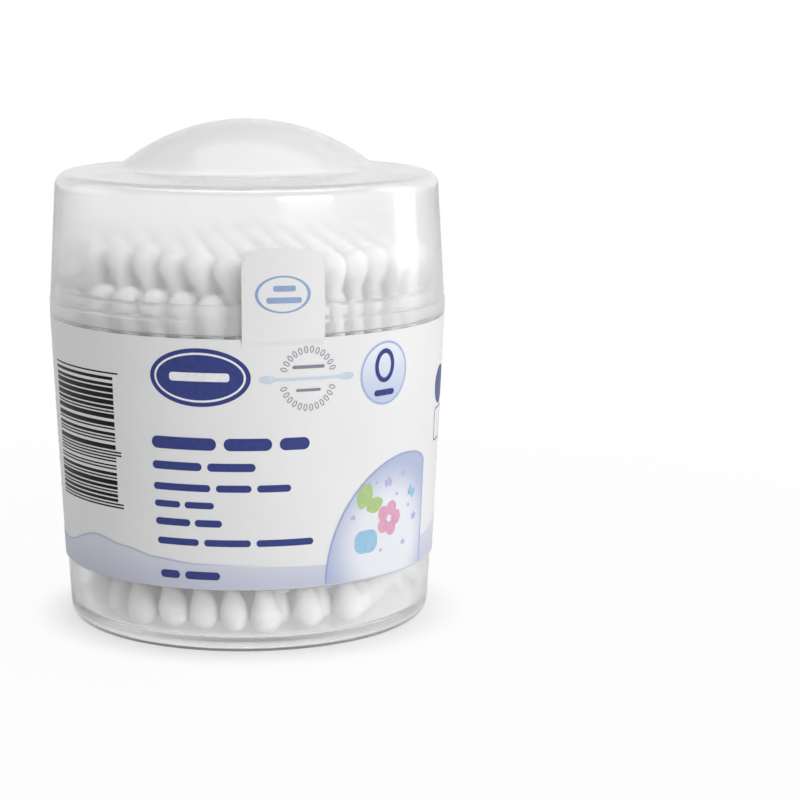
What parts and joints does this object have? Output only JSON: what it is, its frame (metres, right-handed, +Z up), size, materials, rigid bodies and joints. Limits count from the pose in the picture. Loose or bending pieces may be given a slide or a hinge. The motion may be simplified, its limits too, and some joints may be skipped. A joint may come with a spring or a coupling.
{
  "type": "cotton swab tub",
  "caption": "Round clear plastic tub with a domed lift-off lid and a printed film label, filled with upright double-ended cotton swabs.",
  "frame": {"origin": "middle of the base, on the surface that the tub stands on", "axes": "+Z up along the axis of the tub; -Y is the front, where the label's tongue goes up over the lid; +X is to the right seen from the front"},
  "size_m": [0.0865, 0.087, 0.1092],
  "materials": {
    "clear_tub": "clear moulded polystyrene, smooth and glossy",
    "clear_lid": "clear moulded polystyrene, smooth and glossy",
    "label_film": "white opaque film with a print in blues, satin gloss",
    "paper_stick": "tightly rolled white paper, matt",
    "cotton": "wound white cotton wool, soft and matt"
  },
  "bodies": {
    "tub": {"tub": "clear_tub", "label": "label_film", "swab_sticks_row_1": "paper_stick", "swab_sticks_row_2": "paper_stick", "swab_sticks_row_3": "paper_stick", "swab_sticks_row_4": "paper_stick", "swab_sticks_row_5": "paper_stick", "swab_sticks_row_6": "paper_stick", "swab_sticks_row_7": "paper_stick", "swab_sticks_row_8": "paper_stick", "swab_sticks_row_9": "paper_stick", "swab_sticks_row_10": "paper_stick", "swab_sticks_row_11": "paper_stick", "swab_sticks_row_12": "paper_stick", "swab_sticks_row_13": "paper_stick", "swab_sticks_row_14": "paper_stick", "cotton_row_1": "cotton", "cotton_row_2": "cotton", "cotton_row_3": "cotton", "cotton_row_4": "cotton", "cotton_row_5": "cotton", "cotton_row_6": "cotton", "cotton_row_7": "cotton", "cotton_row_8": "cotton", "cotton_row_9": "cotton", "cotton_row_10": "cotton", "cotton_row_11": "cotton", "cotton_row_12": "cotton", "cotton_row_13": "cotton", "cotton_row_14": "cotton"},
    "lid": {"lid": "clear_lid"}
  },
  "joints": [
    {"name": "lid_lift", "type": "slide", "parent": "tub", "child": "lid", "axis": [0, 0, 1], "range_m": [0, 0.045]}
  ]
}
